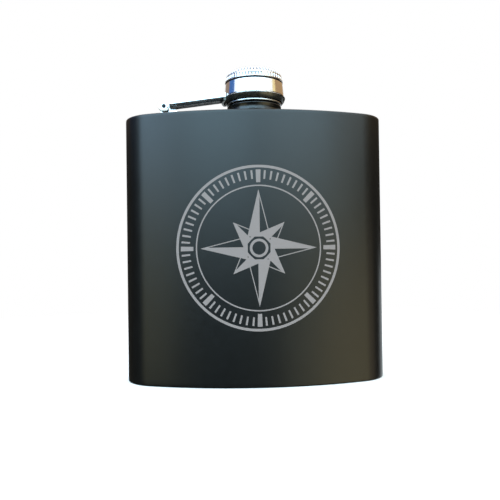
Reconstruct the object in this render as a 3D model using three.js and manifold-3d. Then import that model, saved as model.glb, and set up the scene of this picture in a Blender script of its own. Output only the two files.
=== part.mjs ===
// A curved pocket hip flask: a welded, coated steel body with a captive screw cap.
// Millimetres, +Z up, the rounded front towards -Y. The origin is at the middle of the base.
//
// The cap turns in the ring of a short arm. Unscrewing lifts it clear of the spout's thread inside
// the ring's play, and the arm then swings over to the flask's left on a cross pin.

import * as THREE from 'three';
import { mergeVertices } from 'three/addons/utils/BufferGeometryUtils.js';
import Module from 'manifold-3d';

// ---- Body: a kidney-shaped tube closed by a plate at each end
const BODY_WIDTH = 95;
const BODY_HEIGHT = 96;
const BODY_THICKNESS = 23.2; // at the middle, from the front face to the hollow of the back
const FRONT_RADIUS = 112;
const FRONT_CORNER = 13.5;
const BACK_RADIUS = 270;
const BACK_CORNER = 6;
const WALL = 0.8;
const EDGE_RADIUS = 1.1; // rounding where the plates meet the wall
const TOP_PLATE = 1.2;
const BASE_PLATE = 1.6;
const BASE_RIM = 3.5; // width of the rim that the flask stands on
const BASE_RECESS = 0.5;

// ---- Neck, with heights above the top plate's outer face
const AXIS_SETBACK = 11.6; // from the front face to the neck's axis, which keeps the ring behind it
const BORE_RADIUS = 6.5;
const SPIGOT_RADIUS = 8;
const SPIGOT_GAP = 0.3;
const SPIGOT_DEPTH = 2;
const COLLAR_RADIUS = 9.78;
const COLLAR_TOP = 3.2;
const COLLAR_TAPER = 0.1;
const COLLAR_EDGE = 0.45; // rounding of the collar's shoulder
const THREAD_RADIUS = 7.85; // over the crests
const THREAD_ROOT = 7.4;
const THREAD_BOTTOM = 3.9;
const THREAD_TOP = 7.6;
const LIP_RADIUS = 7.45;
const SPOUT_TOP = 9.6;
const CHAMFER = 0.3; // on the thread's ends and the spout's mouth

// ---- Arm and hinge
const HINGE_X = -32.3;
const HINGE_HEIGHT = 2.85;
const ARM_SLOPE = THREE.MathUtils.degToRad(7.5);
const ARM_WIDTH = 8.4;
const ARM_CHEEK = 0.7; // thickness of each side flange
const ARM_WEB = 0.6;
const ARM_ABOVE_PIN = 2;
const ARM_BELOW_PIN = 0.1;
const LOBE_RADIUS = 2;
const WEB_START = 1.9; // distance from the pin to the web, which leaves the knuckle free
const PIN_RADIUS = 0.6;
const PIN_LENGTH = 8.8;
const PIN_CLEARANCE = 0.05;
const KNUCKLE_RADIUS = 1.4;
const KNUCKLE_WIDTH = 6.4;
const FOOT_THICKNESS = 0.55;
const FOOT_WIDTH = 8;
const FOOT_LEFT = -1.9; // foot ends and lug, measured from the pin
const FOOT_RIGHT = 5.6;
const LUG_TOP_START = 2.2;
const LUG_TOP_END = 4.1;
const LUG_HEIGHT = 1.85;

// ---- Ring of the arm
const RING_HOLE = 9.05;
const RING_TOP = 6.25;
const RING_BOTTOM = 4;
const RING_SHEET = 0.53;
const BEAD_CENTRE = 10.3;
const BEAD_RADIUS = 0.98;
const BEAD_START = THREE.MathUtils.degToRad(-55);
const RING_MOUTH = 10.1; // inner radius of the ring's lower edge
const RISER_INNER = 11.1; // wall that joins the arm to the ring, just clear of the cap
const RISER_OUTER = 11.85;
const RISER_BOTTOM = 4.7;

// ---- Cap, with heights above the top plate's outer face
const CUP_INNER = 8.15;
const CUP_OUTER = 8.7;
const CUP_TOP = 11.5;
const CUP_SHEET = 0.55;
const CUP_LIP_RADIUS = 9.9;
const CUP_LIP_BOTTOM = 3.4;
const CUP_LIP_TOP = 3.9;
const CUP_LIP_EDGE = 0.1;
const CUP_SHOULDER = 0.4;
const SEAL_RADIUS = 8;
const SEAL_GAP = 0.05;
const SEAL_THICKNESS = 1.2;
const SKIRT_BOTTOM = 6.35;
const SKIRT_BOTTOM_RADIUS = 10.87;
const SKIRT_TOP_RADIUS = 10.5;
const GROOVE_RADIUS = 10.2;
const GROOVE_HEIGHT = 0.35;
const KNURL_BOTTOM = 11.8;
const KNURL_RADIUS = 10.5;
const KNURL_TOP = 13.6;
const CROWN_RADIUS = 5.5; // where the shoulder meets the almost flat crown
const CROWN_EDGE = 16.3;
const CROWN_TOP = 16.5;
const SHELL_SHEET = 0.7;
const SHELL_BORE = 9.8;
const CORE_OUTER = 9.6;
const CORE_INNER = 8.9;
const CORE_BOTTOM = 7;
const CORE_GAP = 0.1;

// ---- Resolution
const FRONT_STEPS = 14;
const CORNER_STEPS = 6;
const EDGE_STEPS = 4;
const ROUND_STEPS = 44;
const BEAD_STEPS = 6;
const LOBE_STEPS = 14;
const PIN_STEPS = 16;
const MERGE_DISTANCE = 1e-5;
const OVERSHOOT = 1; // how far a cutting solid runs past what it cuts

const QUARTER = Math.PI / 2;
const BODY_DEPTH = bodyDepth();
const FRONT_Y = -BODY_DEPTH / 2;
const AXIS_Y = FRONT_Y + AXIS_SETBACK;

const wasm = await Module();
wasm.setup();

// ---- Solids

function toSolid(geometry) {
  geometry.deleteAttribute('normal');
  geometry.deleteAttribute('uv');
  const merged = mergeVertices(geometry, MERGE_DISTANCE);
  const corners = merged.index.array;
  const triVerts = [];
  for (let i = 0; i < corners.length; i += 3) {
    const [a, b, c] = corners.slice(i, i + 3);
    if (a !== b && b !== c && c !== a) triVerts.push(a, b, c);
  }
  const vertProperties = merged.attributes.position.array;
  return new wasm.Manifold(new wasm.Mesh({
    numProp: 3, vertProperties, triVerts: new Uint32Array(triVerts),
  }));
}

function toGeometry(solid) {
  const mesh = solid.getMesh();
  const geometry = new THREE.BufferGeometry();
  geometry.setAttribute('position', new THREE.BufferAttribute(mesh.vertProperties, 3));
  geometry.setIndex(new THREE.BufferAttribute(mesh.triVerts, 1));
  geometry.computeVertexNormals();
  return geometry;
}

// A solid of revolution about Z. The profile's points are [radius, height], counter-clockwise.
function turned(profile) {
  const points = profile.map(([radius, height]) => new THREE.Vector2(radius, height));
  const geometry = new THREE.LatheGeometry(points, ROUND_STEPS);
  geometry.rotateX(QUARTER);
  return toSolid(geometry);
}

// As turned, for a profile that closes on itself away from the axis.
function turnedRing(profile) {
  return turned([...profile, profile[0]]);
}

function cylinder(radius, bottom, top) {
  return turned([[0, bottom], [radius, bottom], [radius, top], [0, top]]);
}

// A profile in X and height, given width along Y and centred on y = 0.
function sideSlab(points, width) {
  const shape = new THREE.Shape(points.map(([x, height]) => new THREE.Vector2(x, height)));
  const geometry = new THREE.ExtrudeGeometry(shape, { depth: width, bevelEnabled: false });
  geometry.rotateX(QUARTER);
  geometry.translate(0, width / 2, 0);
  return toSolid(geometry);
}

function crossPin(radius, length, x, height) {
  const geometry = new THREE.CylinderGeometry(radius, radius, length, PIN_STEPS);
  geometry.translate(x, 0, height);
  return toSolid(geometry);
}

function block(xSize, ySize, zSize, x, y, z) {
  const geometry = new THREE.BoxGeometry(xSize, ySize, zSize);
  geometry.translate(x, y, z);
  return toSolid(geometry);
}

// Points on a circle from one angle to another, both ends included.
function arc(x, y, radius, from, to, steps) {
  return Array.from({ length: steps + 1 }, (_, i) => {
    const angle = from + ((to - from) * i) / steps;
    return [x + radius * Math.cos(angle), y + radius * Math.sin(angle)];
  });
}

// ---- Plan of the body

// Corner circles touch the front arc from inside and the back arc from outside.
// Depths of their centres are measured from the front of the body.
function cornerCentres() {
  const frontX = BODY_WIDTH / 2 - FRONT_CORNER;
  const frontY = FRONT_RADIUS - Math.sqrt((FRONT_RADIUS - FRONT_CORNER) ** 2 - frontX ** 2);
  const backX = BODY_WIDTH / 2 - BACK_CORNER;
  const backReach = Math.sqrt((BACK_RADIUS + BACK_CORNER) ** 2 - backX ** 2);
  const backY = BODY_THICKNESS + BACK_RADIUS - backReach;
  return { frontX, frontY, backX, backY };
}

function bodyDepth() {
  return cornerCentres().backY + BACK_CORNER;
}

// The outline, moved in evenly by inset: front arc, two corners, hollow back, two corners.
function bodyOutline(inset = 0) {
  const { frontX, frontY, backX, backY } = cornerCentres();
  const frontCentre = FRONT_Y + FRONT_RADIUS;
  const backCentre = FRONT_Y + BODY_THICKNESS + BACK_RADIUS;
  const frontTurn = Math.atan2(frontX, FRONT_RADIUS - frontY);
  const backTurn = Math.atan2(backX, BODY_THICKNESS + BACK_RADIUS - backY);
  const front = FRONT_CORNER - inset;
  const back = BACK_CORNER - inset;
  const cornerY = { front: FRONT_Y + frontY, back: FRONT_Y + backY };
  return [
    arc(0, frontCentre, FRONT_RADIUS - inset, -QUARTER - frontTurn, -QUARTER + frontTurn, FRONT_STEPS),
    arc(frontX, cornerY.front, front, -QUARTER + frontTurn, 0, CORNER_STEPS).slice(1),
    arc(backX, cornerY.back, back, 0, QUARTER + backTurn, CORNER_STEPS),
    arc(0, backCentre, BACK_RADIUS + inset, -QUARTER + backTurn, -QUARTER - backTurn, FRONT_STEPS).slice(1),
    arc(-backX, cornerY.back, back, QUARTER - backTurn, Math.PI, CORNER_STEPS).slice(1),
    arc(-frontX, cornerY.front, front, Math.PI, 3 * QUARTER - frontTurn, CORNER_STEPS).slice(0, -1),
  ].flat().map(([x, y]) => new THREE.Vector2(x, y));
}

function bodySlab(inset, bottom, top, edge = 0) {
  const shape = new THREE.Shape(bodyOutline(inset));
  const geometry = new THREE.ExtrudeGeometry(shape, {
    depth: top - bottom - 2 * edge,
    bevelEnabled: edge > 0,
    bevelThickness: edge,
    bevelSize: edge,
    bevelOffset: -edge,
    bevelSegments: EDGE_STEPS,
  });
  geometry.translate(0, 0, bottom + edge);
  return toSolid(geometry);
}

// ---- Body pieces

function bodyWall() {
  const bottom = BASE_PLATE;
  const top = BODY_HEIGHT - TOP_PLATE;
  const inside = bodySlab(WALL, bottom - OVERSHOOT, top + OVERSHOOT);
  return bodySlab(0, bottom, top).subtract(inside);
}

function topPlate() {
  const rounded = bodySlab(0, 0, BODY_HEIGHT, EDGE_RADIUS);
  const below = BODY_HEIGHT - TOP_PLATE;
  const cutter = block(2 * BODY_WIDTH, BODY_WIDTH, below, 0, 0, below / 2);
  const hole = cylinder(SPIGOT_RADIUS + SPIGOT_GAP, below - OVERSHOOT, BODY_HEIGHT + OVERSHOOT);
  return rounded.subtract(cutter).subtract(hole.translate([0, AXIS_Y, 0]));
}

function basePlate() {
  const rounded = bodySlab(0, 0, BODY_HEIGHT, EDGE_RADIUS);
  const above = BODY_HEIGHT - BASE_PLATE;
  const cutter = block(2 * BODY_WIDTH, BODY_WIDTH, above, 0, 0, BASE_PLATE + above / 2);
  const recess = bodySlab(BASE_RIM, -OVERSHOOT, BASE_RECESS);
  return rounded.subtract(cutter).subtract(recess);
}

// ---- Pieces on the cap's axis, with heights above the top plate

// A collar on the plate, a spigot through it, and the threaded spout with a plain lip above.
function neck() {
  return turnedRing([
    [BORE_RADIUS, -SPIGOT_DEPTH],
    [SPIGOT_RADIUS, -SPIGOT_DEPTH],
    [SPIGOT_RADIUS, 0],
    [COLLAR_RADIUS, 0],
    [COLLAR_RADIUS - COLLAR_TAPER, COLLAR_TOP - COLLAR_EDGE],
    [COLLAR_RADIUS - COLLAR_EDGE, COLLAR_TOP],
    [THREAD_ROOT, COLLAR_TOP],
    [THREAD_ROOT, THREAD_BOTTOM - CHAMFER],
    [THREAD_RADIUS, THREAD_BOTTOM],
    [THREAD_RADIUS, THREAD_TOP],
    [LIP_RADIUS, THREAD_TOP + CHAMFER],
    [LIP_RADIUS, SPOUT_TOP - CHAMFER],
    [LIP_RADIUS - CHAMFER, SPOUT_TOP],
    [BORE_RADIUS + CHAMFER, SPOUT_TOP],
    [BORE_RADIUS, SPOUT_TOP - CHAMFER],
  ]);
}

// The inner cup carries the cap's thread. Its lip is rolled out under the arm's ring.
function threadCup() {
  const ceiling = CUP_TOP - CUP_SHEET;
  return turned([
    [0, ceiling],
    [CUP_INNER, ceiling],
    [CUP_INNER, CUP_LIP_BOTTOM],
    [CUP_LIP_RADIUS - CUP_LIP_EDGE, CUP_LIP_BOTTOM],
    [CUP_LIP_RADIUS, (CUP_LIP_BOTTOM + CUP_LIP_TOP) / 2],
    [CUP_LIP_RADIUS - CUP_LIP_EDGE, CUP_LIP_TOP],
    [CUP_OUTER, CUP_LIP_TOP],
    [CUP_OUTER, CUP_TOP - CUP_SHOULDER],
    [CUP_OUTER - CUP_SHOULDER, CUP_TOP],
    [0, CUP_TOP],
  ]);
}

function capSeal() {
  const bottom = SPOUT_TOP + SEAL_GAP;
  return cylinder(SEAL_RADIUS, bottom, bottom + SEAL_THICKNESS);
}

// Radius and height of the shoulder, a quarter ellipse from the knurl up to the crown.
function shoulder(inset) {
  return arc(0, 0, 1, 0, QUARTER, BEAD_STEPS).map(([across, up]) => [
    CROWN_RADIUS + (KNURL_RADIUS - inset - CROWN_RADIUS) * across,
    KNURL_TOP + (CROWN_EDGE - inset - KNURL_TOP) * up,
  ]);
}

function capShell() {
  return turned([
    [0, CROWN_TOP - SHELL_SHEET],
    ...shoulder(SHELL_SHEET).reverse(),
    [SHELL_BORE, SKIRT_BOTTOM],
    [SKIRT_BOTTOM_RADIUS, SKIRT_BOTTOM],
    [SKIRT_TOP_RADIUS, KNURL_BOTTOM - GROOVE_HEIGHT],
    [GROOVE_RADIUS, KNURL_BOTTOM - GROOVE_HEIGHT],
    [GROOVE_RADIUS, KNURL_BOTTOM],
    [KNURL_RADIUS, KNURL_BOTTOM],
    ...shoulder(0),
    [0, CROWN_TOP],
  ]);
}

// Moulded filler between the threaded cup and the shell.
function capCore() {
  const inset = SHELL_SHEET + CORE_GAP;
  return turned([
    [0, CUP_TOP + CORE_GAP],
    [CORE_INNER, CUP_TOP + CORE_GAP],
    [CORE_INNER, CORE_BOTTOM],
    [CORE_OUTER, CORE_BOTTOM],
    ...shoulder(inset).map(([radius, height]) => [Math.min(radius, CORE_OUTER), height]),
    [0, CROWN_TOP - inset],
  ]);
}

// ---- Arm and hinge, on the same heights

// From distances along and across the arm to x and height, through the arm's slope at the pin.
function onArm([along, across]) {
  return [
    HINGE_X + along * Math.cos(ARM_SLOPE) - across * Math.sin(ARM_SLOPE),
    HINGE_HEIGHT + along * Math.sin(ARM_SLOPE) + across * Math.cos(ARM_SLOPE),
  ];
}

function armStrip() {
  const end = -HINGE_X;
  const lobeEnd = 4 * QUARTER - Math.asin(ARM_BELOW_PIN / LOBE_RADIUS);
  const side = [
    ...arc(0, 0, LOBE_RADIUS, QUARTER, lobeEnd, LOBE_STEPS),
    [end, -ARM_BELOW_PIN],
    [end, ARM_ABOVE_PIN],
  ];
  const clear = 2 * LOBE_RADIUS;
  const hollow = [
    [-clear, -clear],
    [end + OVERSHOOT, -clear],
    [end + OVERSHOOT, ARM_ABOVE_PIN - ARM_WEB],
    [WEB_START, ARM_ABOVE_PIN - ARM_WEB],
    [WEB_START, clear],
    [-clear, clear],
  ];
  const envelope = sideSlab(side.map(onArm), ARM_WIDTH);
  const channel = envelope.subtract(sideSlab(hollow.map(onArm), ARM_WIDTH - 2 * ARM_CHEEK));
  return channel.subtract(cylinder(RISER_INNER, 0, CROWN_TOP));
}

// The upright wall that closes the arm's end and stands on the ring.
function armRiser() {
  const outline = [
    [-RISER_OUTER, RISER_BOTTOM],
    [0, RISER_BOTTOM],
    onArm([-HINGE_X, ARM_ABOVE_PIN]),
    onArm([-HINGE_X - RISER_OUTER, ARM_ABOVE_PIN]),
  ];
  const bore = cylinder(RISER_INNER, -OVERSHOOT, CROWN_TOP + OVERSHOOT);
  const tube = cylinder(RISER_OUTER, 0, CROWN_TOP).subtract(bore);
  return sideSlab(outline, ARM_WIDTH).intersect(tube);
}

// The ring: a flat web round the threaded cup, with its outer edge rolled down into a bead.
function armRing() {
  const beadHeight = RING_TOP - BEAD_RADIUS;
  return turnedRing([
    [RING_MOUTH + RING_SHEET, RING_BOTTOM],
    ...arc(BEAD_CENTRE, beadHeight, BEAD_RADIUS, BEAD_START, QUARTER, BEAD_STEPS),
    [RING_HOLE, RING_TOP],
    [RING_HOLE, RING_TOP - RING_SHEET],
    ...arc(BEAD_CENTRE, beadHeight, BEAD_RADIUS - RING_SHEET, QUARTER, BEAD_START, BEAD_STEPS),
    [RING_MOUTH, RING_BOTTOM],
  ]);
}

function capArm() {
  const pinHole = crossPin(PIN_RADIUS + PIN_CLEARANCE, 2 * ARM_WIDTH, HINGE_X, HINGE_HEIGHT);
  return armStrip().add(armRiser()).add(armRing()).subtract(pinHole);
}

function hingePin() {
  return crossPin(PIN_RADIUS, PIN_LENGTH, HINGE_X, HINGE_HEIGHT);
}

// A foot welded to the top plate, with a lug that carries the knuckle between the arm's cheeks.
function hingeBracket() {
  const lug = [
    [HINGE_X - KNUCKLE_RADIUS, 0],
    [HINGE_X + FOOT_RIGHT, 0],
    [HINGE_X + FOOT_RIGHT, FOOT_THICKNESS],
    [HINGE_X + LUG_TOP_END, LUG_HEIGHT],
    [HINGE_X + LUG_TOP_START, LUG_HEIGHT],
    [HINGE_X + KNUCKLE_RADIUS, HINGE_HEIGHT],
    [HINGE_X - KNUCKLE_RADIUS, HINGE_HEIGHT],
  ];
  const footWidth = FOOT_RIGHT - FOOT_LEFT;
  const footX = HINGE_X + (FOOT_LEFT + FOOT_RIGHT) / 2;
  const foot = block(footWidth, FOOT_WIDTH, FOOT_THICKNESS, footX, 0, FOOT_THICKNESS / 2);
  const knuckle = crossPin(KNUCKLE_RADIUS, KNUCKLE_WIDTH, HINGE_X, HINGE_HEIGHT);
  const pinHole = crossPin(PIN_RADIUS + PIN_CLEARANCE, 2 * ARM_WIDTH, HINGE_X, HINGE_HEIGHT);
  return foot.add(sideSlab(lug, KNUCKLE_WIDTH)).add(knuckle).subtract(pinHole);
}

// ---- Materials and assembly

const finishes = {
  coat: { color: 0x2c3134, roughness: 0.55, metalness: 0 },
  polishedSteel: { color: 0xd5d7d9, roughness: 0.12, metalness: 1 },
  bareSteel: { color: 0xb9bcbe, roughness: 0.3, metalness: 1 },
  silicone: { color: 0xe6e5df, roughness: 0.6, metalness: 0 },
  plastic: { color: 0x2a2a2b, roughness: 0.5, metalness: 0 },
};

function node(name, solid, finish) {
  const mesh = new THREE.Mesh(toGeometry(solid), new THREE.MeshStandardMaterial(finishes[finish]));
  mesh.name = name;
  return mesh;
}

const group = new THREE.Group();
group.add(node('body_wall', bodyWall(), 'coat'));
group.add(node('top_plate', topPlate(), 'coat'));
group.add(node('base_plate', basePlate(), 'coat'));

// Everything on the top plate shares the cap's axis plane and the plate's outer face.
const topSide = new THREE.Group();
topSide.position.set(0, AXIS_Y, BODY_HEIGHT);
topSide.add(node('neck', neck(), 'coat'));
topSide.add(node('hinge_bracket', hingeBracket(), 'polishedSteel'));
topSide.add(node('hinge_pin', hingePin(), 'bareSteel'));
topSide.add(node('cap_arm', capArm(), 'polishedSteel'));
topSide.add(node('cap_seal', capSeal(), 'silicone'));
topSide.add(node('thread_cup', threadCup(), 'bareSteel'));
topSide.add(node('cap_core', capCore(), 'plastic'));
topSide.add(node('cap_shell', capShell(), 'polishedSteel'));
group.add(topSide);

export default group;
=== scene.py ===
import math

import bpy
from mathutils import Matrix, Vector

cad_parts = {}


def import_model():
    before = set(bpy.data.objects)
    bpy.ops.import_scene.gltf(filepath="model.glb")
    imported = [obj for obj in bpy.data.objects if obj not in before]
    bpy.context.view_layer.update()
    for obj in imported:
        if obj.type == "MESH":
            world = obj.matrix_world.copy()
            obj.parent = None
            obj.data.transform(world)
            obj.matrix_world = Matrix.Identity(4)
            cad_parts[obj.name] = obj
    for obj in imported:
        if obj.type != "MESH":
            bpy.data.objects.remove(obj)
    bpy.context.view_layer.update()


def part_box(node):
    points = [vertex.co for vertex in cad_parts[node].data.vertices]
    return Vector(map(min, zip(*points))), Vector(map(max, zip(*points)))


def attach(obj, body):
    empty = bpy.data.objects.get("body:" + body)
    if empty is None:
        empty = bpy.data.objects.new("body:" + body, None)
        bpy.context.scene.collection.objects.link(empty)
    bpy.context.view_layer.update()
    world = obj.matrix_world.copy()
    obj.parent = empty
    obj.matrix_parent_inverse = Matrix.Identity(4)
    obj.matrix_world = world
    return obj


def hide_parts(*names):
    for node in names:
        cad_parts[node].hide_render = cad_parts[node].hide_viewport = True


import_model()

# Looks for a curved hip flask. Shapes are worked out in millimetres in the part's frame and are
# turned into metres when a piece is made. Heights of cap, arm and neck are above the top plate.

MM = 0.001


def in_mm(node):
    low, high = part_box(node)
    return low / MM, high / MM


WALL_LOW, WALL_HIGH = in_mm("body_wall")
TOP_LOW, TOP_HIGH = in_mm("top_plate")
BASE_LOW, BASE_HIGH = in_mm("base_plate")
SEAL_LOW, SEAL_HIGH = in_mm("cap_seal")
PIN_LOW, PIN_HIGH = in_mm("hinge_pin")
CUP_LOW, CUP_HIGH = in_mm("thread_cup")
SHELL_LOW, SHELL_HIGH = in_mm("cap_shell")
CORE_LOW, CORE_HIGH = in_mm("cap_core")
NECK_LOW = in_mm("neck")[0]
FOOT_LOW, FOOT_HIGH = in_mm("hinge_bracket")

# ---- Body
BODY_WIDTH = WALL_HIGH.x - WALL_LOW.x
FRONT_Y = WALL_LOW.y
BODY_TOP = TOP_HIGH.z
BODY_THICKNESS = 23.14
FRONT_RADIUS = 112.0
FRONT_CORNER = 13.5
BACK_RADIUS = 270.0
BACK_CORNER = 6.0
WALL = 0.8
SKIN = 0.015
EDGE_RADIUS = 0.5
BASE_RIM = 3.5
BASE_RECESS = 0.5

# ---- The cap's axis, and the parts on it
AXIS = Vector((0.0, (SEAL_LOW.y + SEAL_HIGH.y) / 2, BODY_TOP))
BORE_RADIUS = 6.5
SPIGOT_RADIUS = 8.0
SPIGOT_GAP = 0.3
COLLAR_RADIUS = 9.78
COLLAR_TOP = 3.2
COVE_DEPTH = 0.3
COVE_BOTTOM = 0.25
COVE_HEIGHT = 2.6
THREAD_RADIUS = 7.85
THREAD_ROOT = 7.4
THREAD_BOTTOM = 3.7
THREAD_TOP = 7.8
THREAD_PITCH = 1.6
THREAD_FADE = 0.7
RIDGE_HALF = 0.34  # of the pitch
RIDGE_FLANK = 0.2  # of the pitch
LIP_RADIUS = 7.45
SPOUT_TOP = 9.6
CUP_INNER = 8.15
CUP_ROOT = 8.45
CUP_OUTER = 8.7
CUP_SHEET = 0.55
CUP_LIP_RADIUS = 9.9
CUP_ROLL = 0.2
CUP_LIP_RISE = 0.26
CUP_LIP_HEIGHT = 0.62
SKIRT_BOTTOM_RADIUS = 10.87
SKIRT_TOP_RADIUS = 10.5
GROOVE_RADIUS = 10.02
GROOVE_HEIGHT = 0.52
KNURL_BOTTOM = 11.8
KNURL_RADIUS = 10.5
KNURL_TOP = 13.6
KNURL_LEAN = 0.34
CROWN_RADIUS = 5.5
SHELL_SHEET = 0.7
SHELL_BORE = 9.8
CORE_OUTER = 9.6
CORE_INNER = 8.9
KNURL_TEETH = 54
KNURL_ROWS = ((0.35, 1.75, 0.0), (2.0, 3.45, 0.5))  # bottom, top, and shift as a share of the pitch
NOTCH_DEPTH = 0.26
NOTCH_HALF = 0.24  # of the pitch
NOTCH_FADE = 0.25

# ---- Arm and hinge
HINGE = Vector(((PIN_LOW.x + PIN_HIGH.x) / 2, AXIS.y, (PIN_LOW.z + PIN_HIGH.z) / 2))
ARM_SLOPE = math.radians(7.5)
ARM_WIDTH = 8.4
ARM_SHEET = 0.7
ARM_WEB = 0.6
ARM_ABOVE_PIN = 2.0
ARM_BELOW_PIN = -0.35
ARM_BEND = 0.45
LOBE_RADIUS = 2.0
WEB_START = 1.9
PIN_RADIUS = 0.6
PIN_HEAD = 0.75
KNUCKLE_RADIUS = 1.4
KNUCKLE_WIDTH = 6.4
RING_HOLE = 9.05
RING_TOP = 6.25
RING_SHEET = 0.53
RING_LEAF = 0.3
RING_RADIUS = 11.28
RING_CORNER = 0.1
CURL_RADIUS = 4.0
CURL_START = -14.0
CURL_END = -43.0
RISER_INNER = 11.1
RISER_OUTER = 11.85
RISER_BOTTOM = 4.7
# Height below which the faces by the ring get painted shade.
SHADE_HEIGHT = 6.05

# ---- Ornament on the front
ORNAMENT_CENTRE = Vector((0.4, 0.0, BODY_TOP / 2))
ORNAMENT_RADIUS = 28.6
ORNAMENT_RIM = 0.9
ORNAMENT_PROUD = 0.012
ORNAMENT_SUNK = 0.06
INNER_RING = (21.3, 21.75)
HUB_RING = (2.3, 3.2)
TICKS = 72
TICKS_PER_MAJOR = 9
MAJOR_TICK = (22.6, 27.0)
MAJOR_TICK_HALF = 0.85
MINOR_TICK = (23.8, 26.8)
MINOR_TICK_HALF = 0.34
LONG_TIP, LONG_NOTCH = 20.2, 5.6
SHORT_TIP, SHORT_NOTCH = 12.6, 5.2
STAR_GAP = 3.9
STAR_OUTLINE = 0.42

QUARTER = math.pi / 2
SHARP = math.radians(32)


# ---- Points and curves

def arc(x, y, radius, start, end, steps):
    """Points on a circle from one angle to another, both ends included."""
    turns = (start + (end - start) * i / steps for i in range(steps + 1))
    return [(x + radius * math.cos(a), y + radius * math.sin(a)) for a in turns]


def rounded(points, radius, steps=4):
    """A closed polygon with each corner rounded. radius is one number, or one for each corner."""
    count = len(points)
    radii = radius if isinstance(radius, (list, tuple)) else [radius] * count
    path = []
    for i, corner in enumerate(points):
        here = Vector(corner)
        before = Vector(points[i - 1]) - here
        after = Vector(points[(i + 1) % count]) - here
        if radii[i] <= 0:
            path.append(tuple(here))
            continue
        half = before.angle(after) / 2
        reach = min(radii[i] / math.tan(half), before.length / 2, after.length / 2)
        start, end = here + before.normalized() * reach, here + after.normalized() * reach
        for k in range(steps + 1):
            t = k / steps
            point = start.lerp(here, t).lerp(here.lerp(end, t), t)
            path.append(tuple(point))
    return path


def body_outline(inset=0.0, steps=96):
    """The body's plan, moved in evenly by inset: front arc, two corners, hollow back, two corners."""
    front_x = BODY_WIDTH / 2 - FRONT_CORNER
    front_y = FRONT_RADIUS - math.sqrt((FRONT_RADIUS - FRONT_CORNER) ** 2 - front_x ** 2)
    back_x = BODY_WIDTH / 2 - BACK_CORNER
    back_reach = math.sqrt((BACK_RADIUS + BACK_CORNER) ** 2 - back_x ** 2)
    back_y = BODY_THICKNESS + BACK_RADIUS - back_reach
    front_turn = math.atan2(front_x, FRONT_RADIUS - front_y)
    back_turn = math.atan2(back_x, back_reach)
    corner_steps = steps // 4
    front_corner, back_corner = FRONT_CORNER - inset, BACK_CORNER - inset
    front_centre = FRONT_Y + FRONT_RADIUS
    back_centre = FRONT_Y + BODY_THICKNESS + BACK_RADIUS
    right_front = arc(front_x, FRONT_Y + front_y, front_corner, -QUARTER + front_turn, 0, corner_steps)
    right_back = arc(back_x, FRONT_Y + back_y, back_corner, 0, QUARTER + back_turn, corner_steps)
    left_back = [(-x, y) for x, y in reversed(right_back)]
    left_front = [(-x, y) for x, y in reversed(right_front)]
    turn = -QUARTER
    front = arc(0, front_centre, FRONT_RADIUS - inset, turn - front_turn, turn + front_turn, steps)
    back = arc(0, back_centre, BACK_RADIUS + inset, turn + back_turn, turn - back_turn, steps // 2)
    return front[:-1] + right_front + right_back[:-1] + back[:-1] + left_back + left_front[:-1]


def front_depth(x):
    """y of the body's front face at x, on the front arc."""
    return FRONT_Y + FRONT_RADIUS - math.sqrt(FRONT_RADIUS ** 2 - x ** 2)


# ---- Meshes, as (vertices, faces)

def stack(rings, closed=False):
    """A skin over rings of points, all of one length. Open stacks are capped at both ends."""
    count = len(rings[0])
    verts = [point for ring in rings for point in ring]
    pairs = len(rings) if closed else len(rings) - 1
    faces = []
    for i in range(pairs):
        low, high = i * count, ((i + 1) % len(rings)) * count
        for k in range(count):
            n = (k + 1) % count
            faces.append((low + k, low + n, high + n, high + k))
    if not closed:
        faces.append(tuple(reversed(range(count))))
        faces.append(tuple(range(len(verts) - count, len(verts))))
    return verts, faces


def revolve(profile, steps, shape=None):
    """A solid of revolution on the cap's axis. Its profile is counter-clockwise in (radius, height)
    and ends on the axis, or closes on itself. shape(index, angle) gives another radius for a point."""
    on_axis = profile[0][0] == 0
    verts, rows = [], []
    for index, (radius, height) in enumerate(profile):
        if radius == 0:
            rows.append([len(verts)] * steps)
            verts.append((0.0, 0.0, height))
            continue
        rows.append(list(range(len(verts), len(verts) + steps)))
        for k in range(steps):
            angle = 2 * math.pi * k / steps
            r = shape(index, angle) if shape else radius
            verts.append((r * math.cos(angle), r * math.sin(angle), height))
    pairs = list(zip(rows, rows[1:])) + ([] if on_axis else [(rows[-1], rows[0])])
    faces = []
    for low, high in pairs:
        for k in range(steps):
            n = (k + 1) % steps
            face = (low[k], low[n], high[n], high[k])
            faces.append(tuple(dict.fromkeys(face)))
    return verts, faces


def plate(outline, low, high, edge, edge_steps=3):
    """An outline given thickness from low to high, with rounded edges. Points are (a, b, level)."""
    normals = []
    count = len(outline)
    for i in range(count):
        before, after = Vector(outline[i - 1]), Vector(outline[(i + 1) % count])
        along = (after - before).normalized()
        normals.append(Vector((-along.y, along.x)))
    rings = []
    levels = [(1 - math.sin(t), 1 - math.cos(t)) for t in
              (QUARTER * i / edge_steps for i in range(edge_steps + 1))]
    for inset, up in levels:
        rings.append((inset * edge, low + up * edge))
    for inset, up in reversed(levels):
        rings.append((inset * edge, high - up * edge))
    return stack([
        [(p[0] + n.x * inset, p[1] + n.y * inset, level) for p, n in zip(outline, normals)]
        for inset, level in rings
    ])


def moved(shape, matrix):
    verts, faces = shape
    flip = matrix.determinant() < 0
    placed = [tuple(matrix @ Vector(v)) for v in verts]
    return placed, [tuple(reversed(f)) for f in faces] if flip else faces


def offset(shape, by):
    return moved(shape, Matrix.Translation(Vector(by)))


def on_axis(shape):
    return offset(shape, AXIS)


def joined(*shapes):
    verts, faces = [], []
    for more_verts, more_faces in shapes:
        start = len(verts)
        verts += more_verts
        faces += [tuple(start + i for i in face) for face in more_faces]
    return verts, faces


# ---- Making pieces

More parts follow.
